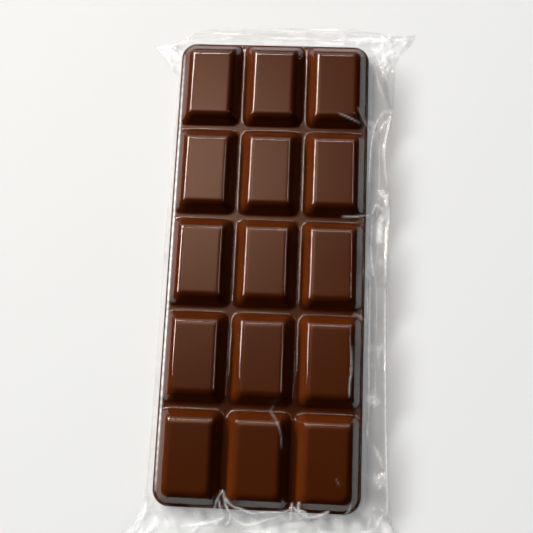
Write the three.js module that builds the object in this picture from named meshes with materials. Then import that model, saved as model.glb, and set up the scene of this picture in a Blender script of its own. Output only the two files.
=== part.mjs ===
// A moulded chocolate bar of 3 x 5 blocks in a clear sealed wrapper.
//
// Millimetres, +Z up.  The origin is the middle of the bar's flat underside,
// the bar's length runs along Y and its width along X.  The bar and the
// wrapper both lie on z = 0.
//
// chocolate_bar  a slab with rounded corners and drafted sides, and on it one
//                raised block for each bite, with sloping flanks, a concave
//                foot and a rounded crown.
// film_wrap      the space that the clear wrapper takes up around the bar: the
//                slack along both sides, which slopes from the bar down to the
//                table, and the two flared end seals with their pressed ribs.

import * as THREE from 'three';
import { mergeGeometries, mergeVertices } from 'three/addons/utils/BufferGeometryUtils.js';

// ---- the bar ---------------------------------------------------------------
const COLUMNS = 3;
const ROWS = 5;
const PITCH_X = 23.0;          // from the middle of one block to the next
const PITCH_Y = 33.4;
const SLAB_HEIGHT = 4.2;       // table to groove floor
const BAR_HEIGHT = 8.0;        // table to the top of a block
const FOOT_HALF_X = 11.05;     // half a block's foot, at the groove floor
const FOOT_HALF_Y = 15.85;
const RIM = 0.4;               // slab left round the outer blocks, at groove height
const SLAB_DRAFT = 0.5;        // how far the slab's side leans out down to the table
const SLAB_EDGE = 0.35;        // how deep the rounding along the slab's upper edge is
const SLAB_EDGE_RUN = 0.25;    // and how far out it reaches
const FLANK_RUN = 5.0;         // from a block's foot in to its flat top
const FOOT_FILLET = 0.5;       // radius where a flank meets the groove floor
const CROWN_RADIUS = 3.4;      // rounding along a block's upper edge
const FOOT_CORNER = 3.0;       // corner radius of a block's foot
const TOP_CORNER = 1.7;        // corner radius of a block's flat top
const BAR_CORNER = 5.0;        // foot corner radius at the bar's own four corners
const BAR_TOP_CORNER = 2.1;    // flat-top corner radius at the bar's own four corners
const CORNER_STEPS = 5;        // straight steps in a quarter turn
const FOOT_STEPS = 2;          // and in the foot's and the crown's arcs
const CROWN_STEPS = 5;

// ---- the wrapper -----------------------------------------------------------
const BAR_GAP = 0.35;          // clear space between the bar and the wrapper's solid
const SIDE_HEIGHT = 4.6;       // height of the wrapper where it leaves the bar
const EDGE_THICKNESS = 0.7;    // two layers of film pressed flat, as a solid
const SLACK_CURVE = 1.5;       // how hollow the slope from the bar to the table is
const SEAL_WIDTH = 5.5;        // the pressed strip at each end
const SEAL_RIBS = 4;
const RIB_HEIGHT = 0.35;
const FLAT_UNTIL = 4.4;        // the wrapper lies flat this far in from its two ends
const FULL_FROM = 8.8;         // and has its full height from here
const PUCKER_DEPTH = 0.22;     // gathers between the bar's ends and the seals
const PUCKERS_PER_SIDE = 5;
const FILM_STATIONS = 34;      // steps along each of the four sides
const FILM_CORNER_STEPS = 3;   // of them, round half of a corner of the bar
const FILM_STEPS = 9;          // steps from the bar out to the film's edge

// The outer edge of the lying wrapper, one list for each side, seen from above.
// The slack lies to the right of the bar, and each end flares out to two tips.
const FILM_FAR_END = 92.7;
const FILM_NEAR_END = -98.2;
const FILM_FAR = [[-46.5, 84], [-38.5, 85.8], [-31, 90.3], [-10, 92.2], [10, FILM_FAR_END],
  [27, FILM_FAR_END], [38, 91.3], [45, 90.3], [52, 90.9]];
const FILM_RIGHT = [[52, 90.9], [47.4, 84.3], [44.2, 78.6], [43.9, 59], [41.8, 44], [43.4, 22], [42.6, 0],
  [43, -45], [43.9, -78], [46, -88.5], [50, -95]];
const FILM_NEAR = [[50, -95], [43, -97.4], [2, FILM_NEAR_END], [-36, -97.2], [-46.5, -94.5]];
const FILM_LEFT = [[-46.5, -94.5], [-41, -89], [-38, -81], [-37.3, -45], [-37.1, 0], [-36.6, 50],
  [-37.2, 70.5], [-40.6, 77], [-46.5, 84]];

// ---- looks of the two materials --------------------------------------------
const chocolate = new THREE.MeshStandardMaterial({
  name: 'chocolate', color: 0x4d2716, roughness: 0.28, metalness: 0 });
const film = new THREE.MeshStandardMaterial({
  name: 'clear_film', color: 0xf2f4f3, roughness: 0.12, metalness: 0, transparent: true, opacity: 0.35 });

// ---- rings and the faces between them --------------------------------------

// A rounded rectangle as a closed ring of points, anticlockwise from above.
// radii are its corners' radii: right far, left far, left near, right near.
function roundedRing(centre, halfX, halfY, radii, height) {
  const cornerSigns = [[1, 1], [-1, 1], [-1, -1], [1, -1]];
  return cornerSigns.flatMap(([signX, signY], corner) => {
    const radius = radii[corner];
    const middleX = centre[0] + signX * (halfX - radius);
    const middleY = centre[1] + signY * (halfY - radius);
    return Array.from({ length: CORNER_STEPS + 1 }, (_, step) => {
      const angle = (corner + step / CORNER_STEPS) * Math.PI / 2;
      return new THREE.Vector3(
        middleX + radius * Math.cos(angle), middleY + radius * Math.sin(angle), height);
    });
  });
}

// The band of triangles between two rings with the same number of points.
// With rings that run anticlockwise it faces outwards when the upper ring lies
// above the lower one, and up when it lies inside it.
function bandBetween(lower, upper) {
  const corners = [];
  lower.forEach((start, index) => {
    const next = (index + 1) % lower.length;
    corners.push(start, lower[next], upper[next]);
    corners.push(start, upper[next], upper[index]);
  });
  return fromCorners(corners);
}

// A flat face that fills a ring, with other rings left out of it.
function flatFace(outline, holes, facesUp) {
  const flat = (ring) => ring.map((point) => new THREE.Vector2(point.x, point.y));
  const triangles = THREE.ShapeUtils.triangulateShape(flat(outline), holes.map(flat));
  const points = [outline, ...holes].flat();
  const corners = triangles.flatMap(([a, b, c]) => {
    const turn = (points[b].x - points[a].x) * (points[c].y - points[a].y)
      - (points[b].y - points[a].y) * (points[c].x - points[a].x);
    const isUp = turn > 0;
    return isUp === facesUp ? [points[a], points[b], points[c]] : [points[a], points[c], points[b]];
  });
  return fromCorners(corners);
}

function fromCorners(corners) {
  return new THREE.BufferGeometry().setFromPoints(corners);
}

function closedSolid(faces) {
  const joined = mergeVertices(mergeGeometries(faces), 1e-4);
  joined.computeVertexNormals();
  return joined;
}

// ---- the chocolate bar -----------------------------------------------------

// The outline of a block from its foot to its flat top, as [inset, height]
// pairs: a concave arc, a straight flank and a convex arc, each tangent to the
// next.  The flank's angle follows from the run, the rise and the two radii.
function blockProfile() {
  const rise = BAR_HEIGHT - SLAB_HEIGHT;
  const bothRadii = FOOT_FILLET + CROWN_RADIUS;
  const root = Math.sqrt(FLANK_RUN ** 2 - rise * (2 * bothRadii - rise));
  const flankAngle = 2 * Math.atan(rise / (FLANK_RUN + root));
  const profile = [];
  for (let step = 0; step <= FOOT_STEPS; step += 1) {
    const angle = flankAngle * step / FOOT_STEPS;
    profile.push([FOOT_FILLET * Math.sin(angle), FOOT_FILLET * (1 - Math.cos(angle))]);
  }
  for (let step = 0; step <= CROWN_STEPS; step += 1) {
    const angle = flankAngle * (1 - step / CROWN_STEPS);
    profile.push([
      FLANK_RUN - CROWN_RADIUS * Math.sin(angle),
      rise - CROWN_RADIUS * (1 - Math.cos(angle))]);
  }
  return profile;
}

// The corner radii of one block, larger where the block is a corner of the bar.
function cornerRadii(column, row, plain, atBarCorner) {
  const isRight = column === COLUMNS - 1;
  const isLeft = column === 0;
  const isFar = row === 0;
  const isNear = row === ROWS - 1;
  return [isRight && isFar, isLeft && isFar, isLeft && isNear, isRight && isNear]
    .map((isBarCorner) => (isBarCorner ? atBarCorner : plain));
}

function makeChocolateBar() {
  const profile = blockProfile();
  const faces = [];
  const feet = [];
  for (let row = 0; row < ROWS; row += 1) {
    for (let column = 0; column < COLUMNS; column += 1) {
      const centre = [(column - (COLUMNS - 1) / 2) * PITCH_X, ((ROWS - 1) / 2 - row) * PITCH_Y];
      const footRadii = cornerRadii(column, row, FOOT_CORNER, BAR_CORNER);
      const topRadii = cornerRadii(column, row, TOP_CORNER, BAR_TOP_CORNER);
      const rings = profile.map(([inset, height]) => {
        const share = inset / FLANK_RUN;
        const radii = footRadii.map((radius, corner) => radius + share * (topRadii[corner] - radius));
        return roundedRing(centre, FOOT_HALF_X - inset, FOOT_HALF_Y - inset, radii, SLAB_HEIGHT + height);
      });
      feet.push(rings[0]);
      for (let level = 1; level < rings.length; level += 1) {
        faces.push(bandBetween(rings[level - 1], rings[level]));
      }
      faces.push(flatFace(rings[rings.length - 1], [], true));
    }
  }

  const rimHalfX = (COLUMNS - 1) / 2 * PITCH_X + FOOT_HALF_X + RIM;
  const rimHalfY = (ROWS - 1) / 2 * PITCH_Y + FOOT_HALF_Y + RIM;
  const slabRing = (outset, height) => roundedRing([0, 0], rimHalfX + outset, rimHalfY + outset,
    Array(4).fill(BAR_CORNER + RIM + outset), height);
  const slabRings = [
    slabRing(SLAB_DRAFT, 0),
    slabRing(SLAB_EDGE_RUN, SLAB_HEIGHT - SLAB_EDGE),
    slabRing(0, SLAB_HEIGHT)];
  faces.push(flatFace(slabRings[0], [], false));
  faces.push(bandBetween(slabRings[0], slabRings[1]));
  faces.push(bandBetween(slabRings[1], slabRings[2]));
  faces.push(flatFace(slabRings[2], feet, true));
  return closedSolid(faces);
}

// ---- the film wrapper ------------------------------------------------------

// Points at even shares of the length of a smooth line through the given ones.
function alongLine(points, count) {
  const line = new THREE.CatmullRomCurve3(
    points.map(([x, y]) => new THREE.Vector3(x, y, 0)), false, 'centripetal');
  return line.getSpacedPoints(count).slice(0, count);
}

// Half of a rounded corner, the straight side and half of the next corner, as
// [along, drop] pairs: the way along the side and the drop back from its line.
function roundedSide(halfLength, radius) {
  const straight = halfLength - radius;
  const straightSteps = FILM_STATIONS - 2 * FILM_CORNER_STEPS;
  return Array.from({ length: FILM_STATIONS }, (_, step) => {
    const intoStraight = step - FILM_CORNER_STEPS;
    const beyond = Math.min(0, intoStraight) + Math.max(0, intoStraight - straightSteps);
    const angle = beyond / FILM_CORNER_STEPS * Math.PI / 4;
    const share = THREE.MathUtils.clamp(intoStraight / straightSteps, 0, 1);
    return [(2 * share - 1) * straight + radius * Math.sin(angle), radius * (1 - Math.cos(angle))];
  });
}

// The wrapper's inner outline, which follows the bar, one side after another in
// the same order as the outer edge.
function innerOutline(halfX, halfY, radius) {
  const point = (x, y) => new THREE.Vector3(x, y, 0);
  const across = roundedSide(halfX, radius);
  const lengthwise = roundedSide(halfY, radius);
  return [
    ...across.map(([along, drop]) => point(along, halfY - drop)),
    ...lengthwise.map(([along, drop]) => point(halfX - drop, -along)),
    ...across.map(([along, drop]) => point(-along, drop - halfY)),
    ...lengthwise.map(([along, drop]) => point(drop - halfX, along))];
}

// Height of the film at a share of the way from the bar to its outer edge.
function filmHeight(share, station, distanceFromEnd) {
  const slope = (SIDE_HEIGHT - EDGE_THICKNESS) * (1 - share) ** SLACK_CURVE;
  const bellied = Math.sin(share * Math.PI);
  const wave = station / FILM_STATIONS * PUCKERS_PER_SIDE * 2 * Math.PI;
  const pucker = PUCKER_DEPTH * bellied * Math.sin(wave);
  const sealed = THREE.MathUtils.clamp(1 - distanceFromEnd / SEAL_WIDTH, 0, 1);
  const rib = sealed > 0 ? RIB_HEIGHT * Math.sin(sealed * SEAL_RIBS * Math.PI) ** 2 : 0;
  const flatten = THREE.MathUtils.smoothstep(distanceFromEnd, FLAT_UNTIL, FULL_FROM);
  return EDGE_THICKNESS + (slope + pucker) * flatten + rib;
}

function makeFilmWrap() {
  const halfX = (COLUMNS - 1) / 2 * PITCH_X + FOOT_HALF_X + RIM + SLAB_DRAFT + BAR_GAP;
  const halfY = (ROWS - 1) / 2 * PITCH_Y + FOOT_HALF_Y + RIM + SLAB_DRAFT + BAR_GAP;
  const inner = innerOutline(halfX, halfY, BAR_CORNER + RIM + SLAB_DRAFT + BAR_GAP);
  const outer = [FILM_FAR, FILM_RIGHT, FILM_NEAR, FILM_LEFT]
    .flatMap((side) => alongLine(side, FILM_STATIONS));
  const rings = [inner];
  for (let step = 0; step <= FILM_STEPS; step += 1) {
    const share = step / FILM_STEPS;
    rings.push(inner.map((from, station) => {
      const point = from.clone().lerp(outer[station], share);
      const distanceFromEnd = Math.min(FILM_FAR_END - point.y, point.y - FILM_NEAR_END);
      point.z = filmHeight(share, station, distanceFromEnd);
      return point;
    }));
  }
  rings.push(outer);
  // The stations run clockwise seen from above, so each band starts at its inner ring.
  const faces = [];
  for (let level = 1; level < rings.length; level += 1) {
    faces.push(bandBetween(rings[level - 1], rings[level]));
  }
  faces.push(bandBetween(outer, inner));
  return closedSolid(faces);
}

// ---- the object ------------------------------------------------------------
const group = new THREE.Group();
const chocolateBar = new THREE.Mesh(makeChocolateBar(), chocolate);
chocolateBar.name = 'chocolate_bar';
const filmWrap = new THREE.Mesh(makeFilmWrap(), film);
filmWrap.name = 'film_wrap';
group.add(chocolateBar, filmWrap);

export default group;
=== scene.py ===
"""A moulded chocolate bar of 3 x 5 blocks in a clear sealed film wrapper.

Lengths are worked out in millimetres in the frame of the CAD model (+Z up, the
bar's length along Y, its flat underside at z = 0) and become metres when a mesh
is made.  Two pieces stand for the two CAD nodes: the bar itself, with finely
rounded blocks, and the thin film that is drawn over it.
"""

import math

import bmesh
import bpy
import numpy as np
from mathutils import Matrix, Vector


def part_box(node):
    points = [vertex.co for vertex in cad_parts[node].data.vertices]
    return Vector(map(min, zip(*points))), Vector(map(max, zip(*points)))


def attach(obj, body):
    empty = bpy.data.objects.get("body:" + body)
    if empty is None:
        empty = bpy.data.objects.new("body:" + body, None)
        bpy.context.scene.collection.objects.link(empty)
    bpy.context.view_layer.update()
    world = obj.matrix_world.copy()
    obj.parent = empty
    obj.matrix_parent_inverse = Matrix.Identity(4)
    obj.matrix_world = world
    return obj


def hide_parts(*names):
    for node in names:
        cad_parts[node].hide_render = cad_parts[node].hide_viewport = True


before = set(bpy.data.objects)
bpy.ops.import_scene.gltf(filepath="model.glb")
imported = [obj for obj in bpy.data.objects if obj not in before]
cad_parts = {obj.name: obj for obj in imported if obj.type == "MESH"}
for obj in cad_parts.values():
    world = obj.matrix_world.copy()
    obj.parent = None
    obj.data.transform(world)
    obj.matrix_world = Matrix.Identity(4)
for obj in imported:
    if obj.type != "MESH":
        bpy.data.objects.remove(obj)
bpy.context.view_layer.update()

MM = 0.001
rng = np.random.default_rng(17)

# ---- sizes of the bar, in millimetres, as in the CAD model -----------------
COLUMNS, ROWS = 3, 5
PITCH = np.array([23.0, 33.4])          # from one block's middle to the next
SLAB_HEIGHT = 4.2
BAR_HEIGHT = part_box("chocolate_bar")[1].z / MM
FOOT_HALF = np.array([11.05, 15.85])    # half a block's foot at the groove floor
TOP_HALF = FOOT_HALF - 5.0              # half its flat top
RIM = 0.4                               # slab left round the outer blocks
SLAB_DRAFT = 0.5
FOOT_FILLET = 0.5
CROWN_RADIUS = 3.4
FOOT_CORNER, TOP_CORNER = 3.0, 1.7
BAR_CORNER, BAR_TOP_CORNER = 5.0, 2.1
UNDERSIDE = 0.10                        # the bar above the table, on the film's back
RIM_TURN, RIM_TURN_OUT = 0.35, 0.245    # the rim's rounded edge, downwards and outwards
BASE_CHAMFER = 0.15
BAR_WAVES, BAR_WAVE_HEIGHT = (31.0, 23.0, 17.0, 41.0), 0.035

# How finely the bar is made: steps round a corner and along a block's sides, up
# its foot, flank and crown, and the shares of the way in at which rings lie over
# the groove floor, the flat tops and the underside.
CORNER_STEPS, SIDE_STEPS = 12, (10, 14)
PROFILE_STEPS = (6, 3, 9)
FLOOR_SHARES = (0.0, 0.6)
TOP_SHARES = (0.08, 0.2, 0.4, 0.6, 0.8, 0.999)
UNDER_SHARES = (0.35, 0.7, 1.0)

# ---- sizes of the film -----------------------------------------------------
FILM_GAP = 0.12                         # between the film and what it lies on
FILM_FOOT = 1.2                         # how tightly it turns in a groove
FILM_REACH = 0.42                       # how far its turn starts before the foot
FILM_FLOOR = 0.05                       # the back of the film above the table
LEAST_GAP = 0.7 * FILM_GAP              # what wrinkles leave of it
DRAWN_BLEND, WRINKLE_BLEND = 0.12, 0.05  # how softly two surfaces run into one
SMOOTH_STEPS = (24, 4, 60)              # of the profile that the film follows
FLANK_LINES, TOP_LINES = 13, (22, 38)   # of the sheet, over each block

# The drawn-down film: its grid, how often it is relaxed, its radius of turning
# over the bar and how much wider that is at the bar's outer sides, over a band
# from so far inside them, and how far the start of it slopes down beside the bar.
GRID_STEP, GRID_X, GRID_Y = 0.4, (-52.0, 52.0), (-99.0, 92.0)
RELAX_ROUNDS = 900
TURN_OVER_BAR, TURN_WIDENING = 1.3, 2.6
WIDENING_FROM, WIDENING_BAND = 5.0, 4.0
TENT_REACH, TENT_SINK = 6.0, 0.3

# How strongly the film's marks show; their white is painted highlight and their
# grey painted shade.  Crumples: white on the facets' edges, for any slope and for
# each unit of it, grey by their height up to a limit, and dull for each unit of
# slope.  Haze: its reach beside the bar, its white, partly a milky film and partly
# painted light that lifts the shade beside the bar, more of it at the near end,
# and its grey, a painted shadow of the bar.  Ribs: their height, white and grey.
GLINT_WIDTH = 0.34                       # how wide a crumpled edge turns white
FACET_WHITE, FACET_WHITE_BY_SLOPE = 0.12, 0.6
FACET_GREY, FACET_GREY_HEIGHT = 0.55, 0.6
FACET_DULL = 2.2
HAZE_REACH, HAZE_WHITE, HAZE_WHITE_NEAR, BAR_SHADOW_GREY = 9.0, 0.06, 0.30, 0.19
NEAR_END, NEAR_END_BAND = -78.0, 6.0    # where along Y the near end's haze sets in
# where the painted shadow of the bar along the right side sets in
BAR_SHADOW_END, BAR_SHADOW_BAND = 10.0, 30.0      # and where the right side's grey does
RIB_HEIGHT, RIB_WHITE, RIB_GREY = 0.16, 0.22, 0.16
# painted shade along the film's cut edge
EDGE_GREY = 0.35                        # of the film's cut edge
CLING_TOP, CLING_INSIDE = 0.94, 5.2     # share of a block's height; way in from the side
CLING_LOSS, DULL_LOSS = 0.6, 0.7        # of gloss
PATCH_WAVES, MILKY_WAVES = (4.7, 7.9, 5.9, 11.3), (9.0, 14.0, 6.5, 5.1)

# The film's outer edge seen from above, in four runs and the flares that lead
# from their ends to the four tips.  A flare stands under (is right, is far), and
# its two lines are its end's and its side's, both as far as the tip.
FAR_RUN = [(-31.0, 90.3), (-25.5, 91.2), (-10.0, 92.2), (10.0, 92.7), (27.0, 92.7),
           (38.0, 91.3)]
NEAR_RUN = [(-31.0, -97.4), (2.0, -98.2), (35.0, -97.8)]
LEFT_RUN = [(-37.8, -78.0), (-37.3, -45.0), (-37.0, 10.0), (-36.3, 50.0), (-36.2, 70.8)]
RIGHT_RUN = [(44.2, -78.5), (43.1, -45.0), (42.7, 0.0), (43.6, 22.6), (41.8, 44.5),
             (44.0, 59.0), (44.6, 78.8)]
FLARES = {
    (1, 1): ([(38.0, 91.3), (45.0, 90.3), (52.1, 91.0)],
             [(44.6, 78.8), (47.5, 84.3), (52.1, 91.0)]),
    (0, 1): ([(-31.0, 90.3), (-38.5, 85.6), (-46.6, 84.0)],
             [(-36.2, 70.8), (-40.6, 77.0), (-46.6, 84.0)]),
    (0, 0): ([(-31.0, -97.4), (-38.0, -97.0), (-46.5, -94.5)],
             [(-37.8, -78.0), (-40.5, -88.5), (-46.5, -94.5)]),
    (1, 0): ([(35.0, -97.8), (43.0, -97.4), (50.0, -95.0)],
             [(44.2, -78.5), (46.3, -88.9), (50.0, -95.0)])}
SIDE_LINES = (18, 36, 36, 26)           # lines beside the bar: left, right, near, far
SLAB_HALF = (np.array([(COLUMNS - 1) / 2, (ROWS - 1) / 2]) * PITCH
             + FOOT_HALF + RIM + SLAB_DRAFT)
SEALS = ((86.4, 92.2), (-97.6, -92.0))  # each from and to, along Y
SEAL_RIBS = 4

# Crumpled places: middle, reach along and across, grain, the angle that the
# facets run at, how long they are drawn out, and their slope.
CRUMPLES = (
    ((43.0, 83.0), (9.0, 6.0), 2.2, 50, 2.6, 0.50),
    ((-39.0, 80.0), (8.0, 5.0), 2.0, 130, 2.6, 0.50),
    ((-38.0, -89.0), (9.0, 6.0), 2.6, -130, 2.4, 0.45),
    ((43.5, -89.0), (8.5, 5.5), 2.4, -55, 2.4, 0.45),
    ((0.0, 87.5), (36.0, 3.6), 3.0, 2, 5.0, 0.16),
    ((0.0, -88.5), (36.0, 5.0), 3.4, -4, 3.0, 0.30),
    ((-9.5, -82.5), (4.0, 5.0), 1.5, 80, 2.2, 0.50),
    ((12.5, -82.5), (3.6, 3.6), 1.3, 60, 1.8, 0.55),
    ((40.5, 20.0), (4.0, 9.0), 2.4, 80, 3.0, 0.24),
    ((39.5, 52.0), (4.0, 8.0), 2.4, 70, 2.6, 0.36),
    ((38.5, -45.0), (2.6, 3.0), 1.3, 30, 1.6, 0.45),
    ((40.5, -72.0), (3.0, 5.0), 1.8, 60, 1.8, 0.38),
    ((39.5, 0.0), (5.0, 18.0), 3.2, 90, 4.0, 0.22),
    ((39.5, -30.0), (5.0, 14.0), 3.2, 90, 4.0, 0.20))

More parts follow.
